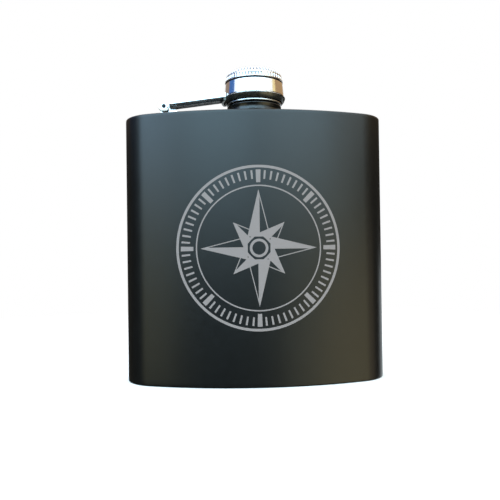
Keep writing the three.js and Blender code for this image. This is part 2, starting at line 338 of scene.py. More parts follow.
def mesh_from(name, shape):
    verts, faces = shape
    mesh = bpy.data.meshes.new(name)
    mesh.from_pydata([tuple(c * MM for c in v) for v in verts], [], faces)
    mesh.validate()
    mesh.update()
    return mesh


def carved(name, base, add=(), cut=()):
    """base with the solids in add joined to it, and then those in cut taken away."""
    result = bpy.data.objects.new(name, mesh_from(name, base))
    bpy.context.scene.collection.objects.link(result)
    for operation, shapes in (("UNION", add), ("DIFFERENCE", cut)):
        for shape in shapes:
            tool = bpy.data.objects.new(name + "_tool", mesh_from(name + "_tool", shape))
            bpy.context.scene.collection.objects.link(tool)
            modifier = result.modifiers.new("carve", "BOOLEAN")
            modifier.operation = operation
            modifier.solver = "EXACT"
            modifier.object = tool
            bpy.context.view_layer.update()
            graph = bpy.context.evaluated_depsgraph_get()
            mesh = bpy.data.meshes.new_from_object(result.evaluated_get(graph))
            result.modifiers.clear()
            result.data = mesh
            bpy.data.objects.remove(tool)
    mesh = result.data
    bpy.data.objects.remove(result)
    return mesh


def piece(name, shape, body, material, replaces=()):
    """A finished piece: smooth faces with sharp edges kept, its material, and what it stands for."""
    mesh = shape if isinstance(shape, bpy.types.Mesh) else mesh_from(name, shape)
    mesh.name = name
    mesh.shade_smooth()
    mesh.set_sharp_from_angle(angle=SHARP)
    mesh.materials.clear()
    mesh.materials.append(material)
    obj = bpy.data.objects.new(name, mesh)
    bpy.context.scene.collection.objects.link(obj)
    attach(obj, body)
    if replaces:
        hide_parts(*replaces)
    return obj


# ---- Materials

class Finish:
    """A Principled material with object-space detail nodes added one at a time."""

    def __init__(self, name, color, roughness, metallic=0.0, specular=0.5):
        self.material = bpy.data.materials.new(name)
        self.material.use_nodes = True
        self.nodes = self.material.node_tree.nodes
        self.links = self.material.node_tree.links
        self.shader = self.nodes["Principled BSDF"]
        self.shader.inputs["Base Color"].default_value = (*color, 1.0)
        self.shader.inputs["Roughness"].default_value = roughness
        self.shader.inputs["Metallic"].default_value = metallic
        self.shader.inputs["Specular IOR Level"].default_value = specular
        self.place = self.nodes.new("ShaderNodeTexCoord").outputs["Object"]
        self.normal = None

    def noise(self, cell, stretch=(1, 1, 1), detail=3.0, rough=0.5):
        """Noise with features about cell millimetres across, stretched along an axis by a factor."""
        mapping = self.nodes.new("ShaderNodeMapping")
        mapping.inputs["Scale"].default_value = [1.0 / s for s in stretch]
        self.links.new(self.place, mapping.inputs["Vector"])
        texture = self.nodes.new("ShaderNodeTexNoise")
        texture.inputs["Scale"].default_value = 1.0 / (cell * MM)
        texture.inputs["Detail"].default_value = detail
        texture.inputs["Roughness"].default_value = rough
        self.links.new(mapping.outputs["Vector"], texture.inputs["Vector"])
        return texture.outputs["Fac"]

    def lines(self, pitch, axis="Z", wobble=0.0):
        """Parallel lines across an axis, pitch millimetres apart."""
        texture = self.nodes.new("ShaderNodeTexWave")
        texture.bands_direction = axis
        texture.inputs["Scale"].default_value = 0.314 / (pitch * MM)
        texture.inputs["Distortion"].default_value = wobble
        self.links.new(self.place, texture.inputs["Vector"])
        return texture.outputs["Fac"]

    def ranged(self, value, low, high, start=0.3, end=0.7):
        remap = self.nodes.new("ShaderNodeMapRange")
        remap.inputs["From Min"].default_value = start
        remap.inputs["From Max"].default_value = end
        remap.inputs["To Min"].default_value = low
        remap.inputs["To Max"].default_value = high
        self.links.new(value, remap.inputs["Value"])
        return remap.outputs["Result"]

    def roughen(self, value, low, high, start=0.3, end=0.7):
        self.links.new(self.ranged(value, low, high, start, end), self.shader.inputs["Roughness"])
        return self

    def tint(self, value, dark, light, start=0.3, end=0.7):
        """Colour that runs from dark to light as value goes from start to end."""
        mix = self.nodes.new("ShaderNodeMix")
        mix.data_type = "RGBA"
        mix.inputs["A"].default_value = (*dark, 1.0)
        mix.inputs["B"].default_value = (*light, 1.0)
        self.links.new(self.ranged(value, 0.0, 1.0, start, end), mix.inputs["Factor"])
        self.links.new(mix.outputs["Result"], self.shader.inputs["Base Color"])
        return self

    def bump(self, value, height, strength=1.0):
        """Relief of height millimetres, on top of any bump already there."""
        node = self.nodes.new("ShaderNodeBump")
        node.inputs["Strength"].default_value = strength
        node.inputs["Distance"].default_value = height * MM
        self.links.new(value, node.inputs["Height"])
        if self.normal:
            self.links.new(self.normal, node.inputs["Normal"])
        self.normal = node.outputs["Normal"]
        self.links.new(self.normal, self.shader.inputs["Normal"])
        return self


def powder_coat(name="powder_coat", low=0.3, high=0.345):
    finish = Finish(name, (0.0013, 0.0014, 0.0015), low, specular=0.5)
    finish.tint(finish.noise(5.0, detail=4), (0.0010, 0.0011, 0.0012), (0.0018, 0.0019, 0.002))
    finish.roughen(finish.noise(1.2, detail=5), low, high)
    finish.bump(finish.noise(0.45, detail=2), 0.005, 0.6)
    finish.bump(finish.noise(0.14, detail=1), 0.003, 0.5)
    return finish.material


def engraved_steel():
    finish = Finish("engraved_steel", (0.21, 0.165, 0.15), 0.6, metallic=0.1, specular=0.3)
    scan = finish.lines(0.34, wobble=0.15)
    finish.tint(scan, (0.17, 0.135, 0.125), (0.25, 0.2, 0.185), 0.1, 0.9)
    finish.roughen(finish.noise(0.5, stretch=(6, 1, 1)), 0.52, 0.68)
    finish.bump(finish.noise(0.12, stretch=(5, 1, 1)), 0.01, 0.5)
    return finish.material


def polished_steel(name="polished_steel", low=0.05, high=0.12):
    finish = Finish(name, (0.62, 0.625, 0.635), low, metallic=1.0)
    finish.roughen(finish.noise(1.4, detail=6, rough=0.6), low, high)
    finish.bump(finish.noise(0.5, stretch=(1, 1, 6), detail=4), 0.0025, 0.5)
    finish.tint(finish.noise(3.0, detail=3), (0.58, 0.585, 0.6), (0.66, 0.665, 0.67))
    return finish.material


def bare_steel():
    finish = Finish("bare_steel", (0.56, 0.565, 0.57), 0.28, metallic=1.0)
    rings = finish.noise(0.6, stretch=(12, 12, 1), detail=4)
    finish.roughen(rings, 0.2, 0.36)
    finish.tint(finish.noise(2.0, detail=4), (0.48, 0.485, 0.49), (0.62, 0.625, 0.63))
    finish.bump(rings, 0.01, 0.6)
    return finish.material


def pin_steel():
    finish = Finish("pin_steel", (0.012, 0.012, 0.015), 0.42, specular=0.12)
    finish.tint(finish.noise(0.4, detail=4), (0.009, 0.009, 0.012), (0.018, 0.018, 0.022))
    finish.roughen(finish.noise(0.3), 0.34, 0.5)
    finish.bump(finish.noise(0.25, detail=3), 0.02, 0.6)
    return finish.material


# Painted shade: a dark steel for the groove under the knurl, standing for the shadow in it.
def groove_shade_steel():
    finish = Finish("groove_shade_steel", (0.03, 0.03, 0.035), 0.6, metallic=0.5, specular=0.2)
    finish.tint(finish.noise(0.8, detail=4), (0.008, 0.008, 0.011), (0.03, 0.03, 0.035))
    finish.roughen(finish.noise(0.5), 0.5, 0.7)
    finish.bump(finish.noise(0.2), 0.02, 0.5)
    return finish.material


# Painted shade: a dark copy of the steel for the arm's underside and the ring's curled wall, which stand in
# shadow.
def underside_shade_steel():
    finish = Finish("underside_shade_steel", (0.08, 0.08, 0.075), 0.3, metallic=0.9)
    finish.tint(finish.noise(1.5, detail=4), (0.055, 0.056, 0.052), (0.11, 0.11, 0.1))
    finish.roughen(finish.noise(0.8), 0.22, 0.38)
    finish.bump(finish.noise(0.5, stretch=(1, 1, 6)), 0.006, 0.5)
    return finish.material


# Painted shade and painted reflection: a dark, bluish steel for the grip's notches, standing for their
# shadow and the blue they mirror.
def notch_shade_steel():
    finish = Finish("notch_shade_steel", (0.11, 0.125, 0.16), 0.36, metallic=0.85)
    finish.tint(finish.noise(0.4, detail=4), (0.08, 0.09, 0.12), (0.15, 0.17, 0.21))
    finish.roughen(finish.noise(0.3), 0.28, 0.44)
    finish.bump(finish.noise(0.15), 0.01, 0.5)
    return finish.material


def silicone():
    finish = Finish("silicone", (0.74, 0.735, 0.7), 0.5, specular=0.4)
    finish.shader.inputs["Subsurface Weight"].default_value = 0.25
    finish.shader.inputs["Subsurface Radius"].default_value = (0.002, 0.002, 0.0018)
    finish.tint(finish.noise(2.5, detail=3), (0.7, 0.69, 0.65), (0.78, 0.775, 0.74))
    finish.roughen(finish.noise(0.8), 0.42, 0.6)
    finish.bump(finish.noise(0.3), 0.01, 0.4)
    return finish.material


def cap_plastic():
    finish = Finish("cap_plastic", (0.02, 0.02, 0.021), 0.5)
    finish.tint(finish.noise(3.0), (0.016, 0.016, 0.017), (0.026, 0.026, 0.027))
    finish.roughen(finish.noise(0.7), 0.42, 0.58)
    finish.bump(finish.noise(0.25), 0.015, 0.5)
    return finish.material


# ---- Body pieces

def wall_shape():
    """The body's wall, as a tube between the outer outline and the inner one."""
    outer, inner = body_outline(SKIN), body_outline(WALL)
    low, high = WALL_LOW.z, WALL_HIGH.z

    def level(outline, z):
        return [(x, y, z) for x, y in outline]

    rings = [level(outer, low), level(outer, high), level(inner, high), level(inner, low)]
    return stack(rings, closed=True)


def rounded_end(outline_levels):
    """A plate whose rings are given as (inset, z), from one face to the other."""
    return stack([[(x, y, z) for x, y in body_outline(SKIN + inset)] for inset, z in outline_levels])


def edge_rings(z, direction):
    """Insets and heights of a rounded edge, from the wall to the flat face at z."""
    turns = [QUARTER * i / 6 for i in range(7)]
    return [
        (EDGE_RADIUS * (1 - math.cos(t)), z - direction * EDGE_RADIUS * (1 - math.sin(t)))
        for t in turns
    ]


def top_plate():
    """The top: a rounded outer edge, and a hole for the neck's spigot."""
    rings = [(0.0, TOP_LOW.z)] + edge_rings(TOP_HIGH.z, 1)
    hole = circle_prism(SPIGOT_RADIUS + SPIGOT_GAP, TOP_LOW.z - 1, TOP_HIGH.z + 1)
    return carved("coated_top", rounded_end(rings), cut=[hole])


def circle_prism(radius, low, high, steps=96):
    ring = arc(AXIS.x, AXIS.y, radius, 0, 2 * math.pi, steps)[:-1]
    return stack([[(x, y, low) for x, y in ring], [(x, y, high) for x, y in ring]])


def base_plate():
    """The base: a raised middle, a soft step down to the flat rim, and the rounded outer edge."""
    step = [(0.0, 0.0), (0.25, 0.1), (0.55, BASE_RECESS - 0.1), (0.9, BASE_RECESS)]
    rings = [(BASE_RIM + inwards, BASE_LOW.z + up) for inwards, up in reversed(step)]
    rings += list(reversed(edge_rings(BASE_LOW.z, -1)))
    return rounded_end(rings + [(0.0, BASE_HIGH.z)])


# ---- Ornament: a plain compass star in a ring of ticks, inlaid along the front's curve

def inlay(points, faces):
    """Flat points (x, height) about the ornament's centre, laid on the front as a thin solid."""
    front, back = [], []
    for x, height in points:
        px, pz = ORNAMENT_CENTRE.x + x, ORNAMENT_CENTRE.z + height
        front.append((px, front_depth(px) + SKIN - ORNAMENT_PROUD, pz))
        back.append((px, front_depth(px) + SKIN + ORNAMENT_SUNK, pz))
    count = len(points)
    edges = {}
    for face in faces:
        for a, b in zip(face, face[1:] + face[:1]):
            edges[(a, b)] = True
    rim = [(a, b) for a, b in edges if (b, a) not in edges]
    solid = [tuple(face) for face in faces]
    solid += [tuple(count + i for i in reversed(face)) for face in faces]
    solid += [(b, a, count + a, count + b) for a, b in rim]
    return front + back, solid


def band(inner, outer, start, end, around, across=1):
    """Part of a ring between two radii, as a grid of quads."""
    points, faces = [], []
    whole = abs(end - start - 2 * math.pi) < 1e-6
    columns = around if whole else around + 1
    for i in range(columns):
        angle = start + (end - start) * i / around
        for k in range(across + 1):
            radius = inner + (outer - inner) * k / across
            points.append((radius * math.cos(angle), radius * math.sin(angle)))
    for i in range(around):
        for k in range(across):
            a, b = i * (across + 1) + k, ((i + 1) % columns) * (across + 1) + k
            faces.append([a, a + 1, b + 1, b])
    return points, faces


def facet(a, b, c, parts=14):
    """A triangle from a to b to c, split into small triangles so that it can follow the curve."""
    a, b, c = Vector(a), Vector(b), Vector(c)
    points, rows = [], []
    for i in range(parts + 1):
        left, right = a.lerp(b, i / parts), a.lerp(c, i / parts)
        rows.append(list(range(len(points), len(points) + i + 1)))
        points += [tuple(left.lerp(right, k / i if i else 0)) for k in range(i + 1)]
    faces = []
    for upper, lower in zip(rows, rows[1:]):
        for k in range(len(upper)):
            faces.append([upper[k], lower[k], lower[k + 1]])
            if k + 1 < len(upper):
                faces.append([upper[k], lower[k + 1], upper[k + 1]])
    return points, faces


def polar(radius, degrees):
    angle = math.radians(degrees)
    return radius * math.cos(angle), radius * math.sin(angle)


def star_facets(points, tip, notch, start, gap):
    """Each point of a star, as one full half and one thin outlined half."""
    shapes = []
    step = 360 / points
    for i in range(points):
        at = start + i * step
        shapes.append(facet(polar(tip, at), polar(gap, at), polar(notch, at + step / 2)))
        outline = [polar(tip, at), polar(notch, at - step / 2), polar(gap, at)]
        shapes += outline_strips(outline, STAR_OUTLINE)
    return shapes


def outline_strips(corners, width):
    """The edge of a triangle as a frame of even width, split along its length."""
    centre = sum((Vector(c) for c in corners), Vector((0, 0))) / 3
    sides = [Vector(corners[(i + 1) % 3]) - Vector(corners[i]) for i in range(3)]
    area = abs(sides[0].cross(sides[1])) / 2
    shrink = 1 - width * sum(s.length for s in sides) / (2 * area)
    inner = [centre.lerp(Vector(c), max(shrink, 0.05)) for c in corners]
    parts = 16
    points, faces = [], []
    for i in range(3):
        start, end = Vector(corners[i]), Vector(corners[(i + 1) % 3])
        inner_start, inner_end = inner[i], inner[(i + 1) % 3]
        for k in range(parts):
            points.append(tuple(start.lerp(end, k / parts)))
            points.append(tuple(inner_start.lerp(inner_end, k / parts)))
    total = len(points)
    for i in range(0, total, 2):
        n = (i + 2) % total
        faces.append([i, i + 1, n + 1, n])
    return [(points, faces)]


def facing_front(shape):
    """Turns faces so that they run counter-clockwise seen from the front."""
    points, faces = shape
    turned_faces = []
    for face in faces:
        area = sum(points[a][0] * points[b][1] - points[b][0] * points[a][1]
                   for a, b in zip(face, face[1:] + face[:1]))
        turned_faces.append(face if area > 0 else face[::-1])
    return points, turned_faces


def ornament():
    """Three rings, a circle of ticks, and a star of four long points over four short ones."""
    full = 2 * math.pi
    shapes = [
        band(ORNAMENT_RADIUS - ORNAMENT_RIM, ORNAMENT_RADIUS, 0, full, 180),
        band(*INNER_RING, 0, full, 160),
        band(*HUB_RING, 0, full, 48),
    ]
    for i in range(TICKS):
        middle = full * i / TICKS
        major = i % TICKS_PER_MAJOR == 0
        half = MAJOR_TICK_HALF if major else MINOR_TICK_HALF
        inner, outer = MAJOR_TICK if major else MINOR_TICK
        turn = half / outer
        shapes.append(band(inner, outer, middle - turn, middle + turn, 3, 4))
    shapes += star_facets(4, SHORT_TIP, SHORT_NOTCH, 45, STAR_GAP)
    shapes += star_facets(4, LONG_TIP, LONG_NOTCH, 0, STAR_GAP)
    return joined(*[inlay(*facing_front(shape)) for shape in shapes])


# ---- Pieces on the cap's axis

def thread_ridge(angle, height, bottom, top):
    """From 0 at the root to 1 at the crest of a right-hand thread, fading out at both ends."""
    phase = ((height - THREAD_PITCH * angle / (2 * math.pi)) / THREAD_PITCH) % 1.0
    ridge = min(max((RIDGE_HALF - abs(phase - 0.5)) / RIDGE_FLANK, 0.0), 1.0)
    fade = min((height - bottom) / THREAD_FADE, (top - height) / THREAD_FADE, 1.0)
    return ridge * max(fade, 0.0)


def rows_between(radius, low, high, step):
    count = max(1, round(abs(high - low) / step))
    return [(radius, low + (high - low) * i / count) for i in range(1, count)]


def collar():
    """The coated foot of the neck: a cove above the weld, and a rounded top."""
    bore = THREAD_ROOT - 0.2
    profile = [(bore, 0.0), (COLLAR_RADIUS + 0.12, 0.0), (COLLAR_RADIUS, 0.12)]
    profile += [
        (COLLAR_RADIUS - 0.02 - COVE_DEPTH * math.sin(math.pi * t), COVE_BOTTOM + COVE_HEIGHT * t)
        for t in (i / 16 for i in range(17))
    ]
    profile += arc(COLLAR_RADIUS - 0.33, COLLAR_TOP - 0.35, 0.35, 0, QUARTER, 5)
    profile += [(bore, COLLAR_TOP)]
    return on_axis(revolve(profile, 128))


def spout():
    """The bare spout, with a rolled thread that the cap's cup screws on to."""
    profile = [(BORE_RADIUS, NECK_LOW.z - BODY_TOP), (SPIGOT_RADIUS, NECK_LOW.z - BODY_TOP)]
    profile += [(SPIGOT_RADIUS, -0.05), (THREAD_ROOT, -0.04)]
    profile += [(THREAD_ROOT, THREAD_BOTTOM)] + rows_between(THREAD_ROOT, THREAD_BOTTOM, THREAD_TOP, 0.08)
    profile += [(THREAD_ROOT, THREAD_TOP)]
    profile += arc(LIP_RADIUS - 0.25, SPOUT_TOP - 0.25, 0.25, 0, QUARTER, 5)
    profile += arc(BORE_RADIUS + 0.2, SPOUT_TOP - 0.2, 0.2, QUARTER, 2 * QUARTER, 4)

    def shape(index, angle):
        radius, height = profile[index]
        if radius != THREAD_ROOT or height < THREAD_BOTTOM:
            return radius
        ridge = thread_ridge(angle, height, THREAD_BOTTOM, THREAD_TOP)
        return radius + (THREAD_RADIUS - THREAD_ROOT) * ridge

    return on_axis(revolve(profile, 160, shape))


def thread_cup():
    """The cap's threaded cup, open below, with a lip turned out under the arm's ring."""
    low, high = CUP_LOW.z - BODY_TOP, CUP_HIGH.z - BODY_TOP
    ceiling = high - CUP_SHEET
    bottom, top = low + 0.5, ceiling - 1.6
    profile = [(0, ceiling), (CUP_ROOT, ceiling), (CUP_ROOT, top)]
    profile += rows_between(CUP_ROOT, top, bottom, 0.1)
    profile += [(CUP_ROOT, bottom)]
    profile += [(CUP_INNER + 0.15, low + 0.1), (CUP_INNER + 0.25, low), (CUP_OUTER, low)]
    foot, brim = low + CUP_LIP_RISE, low + CUP_LIP_RISE + CUP_LIP_HEIGHT
    profile += arc(CUP_LIP_RADIUS - CUP_ROLL, foot + CUP_ROLL, CUP_ROLL, -QUARTER, 0, 6)
    profile += arc(CUP_LIP_RADIUS - CUP_ROLL, brim - CUP_ROLL, CUP_ROLL, 0, QUARTER, 6)
    profile += [(CUP_OUTER + 0.12, brim), (CUP_OUTER, brim + 0.12)]
    profile += arc(CUP_OUTER - 0.4, high - 0.4, 0.4, 0, QUARTER, 5)
    profile += [(0, high)]

    def shape(index, angle):
        radius, height = profile[index]
        if radius != CUP_ROOT or not bottom <= height <= top:
            return radius
        return radius - (CUP_ROOT - CUP_INNER) * thread_ridge(angle, height + 0.8, bottom + 0.8, top + 0.8)

    return on_axis(revolve(profile, 160, shape))


def seal():
    """The seal disc, with a raised rim below that presses on the spout."""
    low, high = SEAL_LOW.z - BODY_TOP, SEAL_HIGH.z - BODY_TOP
    radius = (SEAL_HIGH.x - SEAL_LOW.x) / 2
    profile = [(0, low + 0.12), (5.6, low + 0.12), (5.9, low), (7.7, low)]
    profile += arc(radius - 0.2, low + 0.2, 0.2, -QUARTER, 0, 4)
    profile += arc(radius - 0.2, high - 0.2, 0.2, 0, QUARTER, 4)
    profile += [(0, high)]
    return on_axis(revolve(profile, 96))


def shoulder(inset, steps=14):
    """The quarter ellipse from the knurl up to the crown."""
    rise = SHELL_HIGH.z - BODY_TOP - 0.2 - KNURL_TOP
    reach = KNURL_RADIUS - KNURL_LEAN - inset - CROWN_RADIUS
    return [
        (CROWN_RADIUS + reach * across, KNURL_TOP + (rise - inset) * up)
        for across, up in arc(0, 0, 1, 0, QUARTER, steps)
    ]


def cap_core():
    """The moulded filler between the cup and the cover, hollow below."""
    inset = SHELL_SHEET + 0.1
    low = CORE_LOW.z - BODY_TOP
    roof = CUP_HIGH.z - BODY_TOP + 0.1
    profile = [(0, roof), (CORE_INNER, roof), (CORE_INNER, low)]
    profile += arc(CORE_OUTER - 0.15, low + 0.15, 0.15, -QUARTER, 0, 3)
    profile += [(min(radius, CORE_OUTER), height) for radius, height in shoulder(inset)]
    profile += [(0, CORE_HIGH.z - BODY_TOP)]
    return on_axis(revolve(profile, 96))


def knurl_depth(angle, height):
    """How far the rim's grip is pressed in: two rows of upright notches, half a pitch apart."""
    for bottom, top, shift in KNURL_ROWS:
        low, high = KNURL_BOTTOM + bottom, KNURL_BOTTOM + top
        if low <= height <= high:
            phase = (angle / (2 * math.pi) * KNURL_TEETH + shift) % 1.0
            notch = max(0.0, 1 - abs(phase - 0.5) / NOTCH_HALF)
            ends = min((height - low) / NOTCH_FADE, (high - height) / NOTCH_FADE, 1.0)
            return NOTCH_DEPTH * math.sqrt(notch) * ends
    return 0.0


def cap_shell():
    """The cap's cover: a tapered skirt, a groove, the notched grip and the domed crown."""
    low, top = SHELL_LOW.z - BODY_TOP, SHELL_HIGH.z - BODY_TOP
    groove = KNURL_BOTTOM - GROOVE_HEIGHT
    taper, rise = SKIRT_TOP_RADIUS - SKIRT_BOTTOM_RADIUS, groove - low - 0.3
    profile = [(0, top - SHELL_SHEET)]
    profile += [(min(r, SHELL_BORE), h) for r, h in reversed(shoulder(SHELL_SHEET))]
    profile += [(SHELL_BORE, low + 0.1), (SHELL_BORE + 0.1, low)]
    profile += arc(SKIRT_BOTTOM_RADIUS - 0.2, low + 0.2, 0.2, -QUARTER, 0, 4)
    profile += [
        (SKIRT_BOTTOM_RADIUS + taper * t, low + 0.2 + rise * t)
        for t in (i / 10 for i in range(1, 11))
    ]
    profile += [(GROOVE_RADIUS + 0.1, groove), (GROOVE_RADIUS, groove + 0.08)]
    profile += [(GROOVE_RADIUS, KNURL_BOTTOM - 0.04)]
    profile += arc(KNURL_RADIUS - 0.18, KNURL_BOTTOM + 0.18, 0.18, -QUARTER, 0, 4)
    rim_start = len(profile)
    grip = KNURL_BOTTOM + 0.18
    profile += [
        (KNURL_RADIUS - KNURL_LEAN * ((height - grip) / (KNURL_TOP - grip)) ** 1.5, height)
        for _, height in rows_between(KNURL_RADIUS, grip, KNURL_TOP, 0.12)
    ]
    profile += shoulder(0, steps=40)
    rim_end = len(profile)
    crown = top - 0.2
    profile += [(CROWN_RADIUS * (1 - t), crown + 0.2 * math.sin(t * QUARTER)) for t in (0.2, 0.4, 0.6, 0.8)]
    profile += [(0, top)]

    def shape(index, angle):
        radius, height = profile[index]
        return radius - knurl_depth(angle, height) if rim_start <= index < rim_end else radius

    return on_axis(revolve(profile, KNURL_TEETH * 14, shape))


def paint_notch_shade(cover, material):
    """Paints shade into the pressed-in notches of the grip, with a bluish cast that is a painted
    reflection.
    """
    cover.data.materials.append(material)
    low = (BODY_TOP + KNURL_BOTTOM + 0.3) * MM
    high = (BODY_TOP + KNURL_BOTTOM + 3.5) * MM
    for face in cover.data.polygons:
        x, y, z = face.center
        y -= AXIS.y * MM
        depth = knurl_depth(math.atan2(y, x) % (4 * QUARTER), z / MM - BODY_TOP)
        outside = math.hypot(x, y) > (SHELL_BORE - SHELL_SHEET) * MM and face.normal.dot((x, y, 0.0)) > 0
        if low <= z <= high and outside and depth > 0.14:
            face.material_index = 2


def paint_groove_shade(cover, material):
    """Paints shade into the groove under the knurl: its faces get a dark steel that stands for the shadow
    there.
    """
    cover.data.materials.append(material)
    low = (BODY_TOP + KNURL_BOTTOM - GROOVE_HEIGHT) * MM
    high = (BODY_TOP + KNURL_BOTTOM + 0.1) * MM
    reach = (KNURL_RADIUS - 0.1) * MM
    bore = (SHELL_BORE + 0.1) * MM
    for face in cover.data.polygons:
        x, y, z = face.center
        if low <= z <= high and bore < math.hypot(x, y - AXIS.y * MM) < reach:
            face.material_index = 1


# ---- Arm and hinge

def lies_along_arm(shape):
    """From (along, across, level) at the pin to the part's frame, with level running towards the back."""
    lift = Matrix.Translation(HINGE) @ Matrix.Rotation(-ARM_SLOPE, 4, "Y")
    upright = Matrix(((1, 0, 0, 0), (0, 0, 1, 0), (0, 1, 0, 0), (0, 0, 0, 1)))
    return moved(shape, lift @ upright)


def upright(shape):
    """From (x from the pin, height above the plate, level) to the part's frame."""
    stand = Matrix(((1, 0, 0, 0), (0, 0, 1, 0), (0, 1, 0, 0), (0, 0, 0, 1)))
    return moved(shape, Matrix.Translation((HINGE.x, AXIS.y, BODY_TOP)) @ stand)


def arm_ring():
    """The captive ring: flat on top, with a wall that curls in under it towards the neck."""
    start, curl = math.radians(CURL_START), math.radians(CURL_END)
    brow = RING_TOP - RING_CORNER
    centre = (RING_RADIUS - CURL_RADIUS * math.cos(start), brow - CURL_RADIUS * math.sin(start))
    inner = CURL_RADIUS - RING_SHEET
    underside = RING_TOP - RING_LEAF
    meeting = math.asin((underside - centre[1]) / inner)
    mouth = arc(*centre, (CURL_RADIUS + inner) / 2, curl, curl, 1)[0]
    profile = [(mouth[0] - 0.1, mouth[1] - 0.02), (mouth[0] + 0.05, mouth[1] - 0.14)]
    profile += arc(*centre, CURL_RADIUS, curl, start, 16)
    profile += arc(RING_RADIUS - RING_CORNER, RING_TOP - RING_CORNER, RING_CORNER, 0, QUARTER, 6)
    profile += [(RING_HOLE + 0.08, RING_TOP), (RING_HOLE, RING_TOP - 0.08)]
    profile += [(RING_HOLE, underside + 0.08), (RING_HOLE + 0.08, underside)]
    profile += arc(*centre, inner, meeting, curl, 12)
    return on_axis(revolve(profile, 160))


def arm_channel():
    """The pressed channel between the web's start and the ring, as a U section along the arm."""
    half, top, low = ARM_WIDTH / 2, ARM_ABOVE_PIN, -ARM_BELOW_PIN
    inner, roof = half - ARM_SHEET, ARM_ABOVE_PIN - ARM_WEB
    corners = [(-half, low), (-half, top), (half, top), (half, low),
               (inner, low), (inner, roof), (-inner, roof), (-inner, low)]
    radii = [0.12, ARM_BEND, ARM_BEND, 0.12, 0.12, 0.2, 0.2, 0.12]
    section = rounded(corners, radii)
    end = -HINGE.x - RISER_INNER / 2
    verts, faces = stack([[(s, v, u) for u, v in section] for s in (WEB_START - 0.4, end)])
    return lies_along_arm((verts, faces))


def arm_cheek(side):
    """A cheek's lobe round the pin, running into the channel's flange."""
    end = 4 * QUARTER - math.asin(ARM_BELOW_PIN / LOBE_RADIUS)
    outline = arc(0, 0, LOBE_RADIUS, QUARTER, end, 40)
    outline += [(WEB_START + 1.5, -ARM_BELOW_PIN), (WEB_START + 1.5, ARM_ABOVE_PIN - ARM_BEND)]
    outline += [(WEB_START + 0.4, ARM_ABOVE_PIN - 0.02)]
    inner, outer = ARM_WIDTH / 2 - ARM_SHEET, ARM_WIDTH / 2
    low, high = (inner, outer) if side > 0 else (-outer, -inner)
    return lies_along_arm(plate(outline, low, high, 0.12))


def arm_riser():
    """The upright wall between the arm and the ring, just clear of the cap."""
    half = ARM_WIDTH / 2
    inner_turn, outer_turn = math.asin(half / RISER_INNER), math.asin(half / RISER_OUTER)
    outline = arc(0, 0, RISER_OUTER, math.pi - outer_turn, math.pi + outer_turn, 16)
    outline += arc(0, 0, RISER_INNER, math.pi + inner_turn, math.pi - inner_turn, 16)
    end = -HINGE.x - RISER_INNER
    top = HINGE.z - BODY_TOP + end * math.tan(ARM_SLOPE) + ARM_ABOVE_PIN - 0.03
    return on_axis(plate(outline, RISER_BOTTOM, top, 0.1))


def pin_bore():
    ring = arc(0, 0, PIN_RADIUS + 0.05, 0, 2 * math.pi, 32)[:-1]
    shape = stack([[(x, y, level) for x, y in ring] for level in (-ARM_WIDTH, ARM_WIDTH)])
    return lies_along_arm(shape)


def cap_clearance():
    """The space above the ring that the cap fills."""
    return circle_prism(RISER_INNER - 0.001, BODY_TOP + RING_TOP + 0.05, BODY_TOP + 20)


def cap_arm():
    """The pressed arm in one piece: channel, two cheeks, riser and ring."""
    return carved(
        "arm_and_ring",
        arm_channel(),
        add=[arm_cheek(1), arm_cheek(-1), arm_riser(), arm_ring()],
        cut=[cap_clearance(), pin_bore()],
    )


def paint_underside_shade(arm, material):
    """Paints shade on the arm's underside and the ring's curled wall: faces that look down, and faces by
    the ring below the shade height, get a dark steel.
    """
    arm.data.materials.append(material)
    limit = (BODY_TOP + SHADE_HEIGHT) * MM
    for face in arm.data.polygons:
        x, y, z = face.center
        by_ring = math.hypot(x, y - AXIS.y * MM) < (RISER_OUTER + 0.2) * MM
        if face.normal.z < -0.15 or (by_ring and z < limit):
            face.material_index = 1


def hinge_pin():
    """A pin across the arm, peened over into a low domed head at each end."""
    half, sheet = (PIN_HIGH.y - PIN_LOW.y) / 2, ARM_WIDTH / 2 + 0.01
    profile = [(0, -half), (PIN_HEAD * 0.5, -half + 0.02), (PIN_HEAD * 0.82, -half + 0.07)]
    profile += [(PIN_HEAD, -half + 0.15), (PIN_HEAD, -sheet), (PIN_RADIUS, -sheet)]
    profile += [(r, -h) for r, h in reversed(profile)]
    lay = Matrix.Translation(HINGE) @ Matrix.Rotation(QUARTER, 4, "X")
    return moved(revolve(profile, 40), lay)


def hinge_bracket():
    """The foot plate on the top, with a lug that ends in the hinge's knuckle."""
    rise = HINGE.z - BODY_TOP
    width = FOOT_HIGH.y - FOOT_LOW.y
    left, right = FOOT_LOW.x - HINGE.x, FOOT_HIGH.x - HINGE.x
    lug = rounded(
        [(-KNUCKLE_RADIUS, 0.2), (right - 0.05, 0.2), (right - 0.05, 0.55), (4.1, 1.85), (2.2, 1.85),
         (KNUCKLE_RADIUS * 0.9, rise), (-KNUCKLE_RADIUS * 0.9, rise)],
        [0, 0, 0.1, 0.5, 0.5, 0, 0],
    )
    knuckle = [(x, y + rise) for x, y in arc(0, 0, KNUCKLE_RADIUS, 0, 2 * math.pi, 40)[:-1]]
    foot = rounded(
        [(left, -width / 2), (right, -width / 2), (right, width / 2), (left, width / 2)],
        [0.6, 0.6, 0.6, 0.6],
    )
    half = KNUCKLE_WIDTH / 2
    foot_plate = offset(plate(foot, 0.0, 0.55, 0.12), (HINGE.x, AXIS.y, BODY_TOP))
    return carved(
        "hinge_lug",
        foot_plate,
        add=[upright(plate(lug, -half, half, 0.15)), upright(plate(knuckle, -half, half, 0.12))],
        cut=[pin_bore()],
    )


# ---- Stage, light and camera

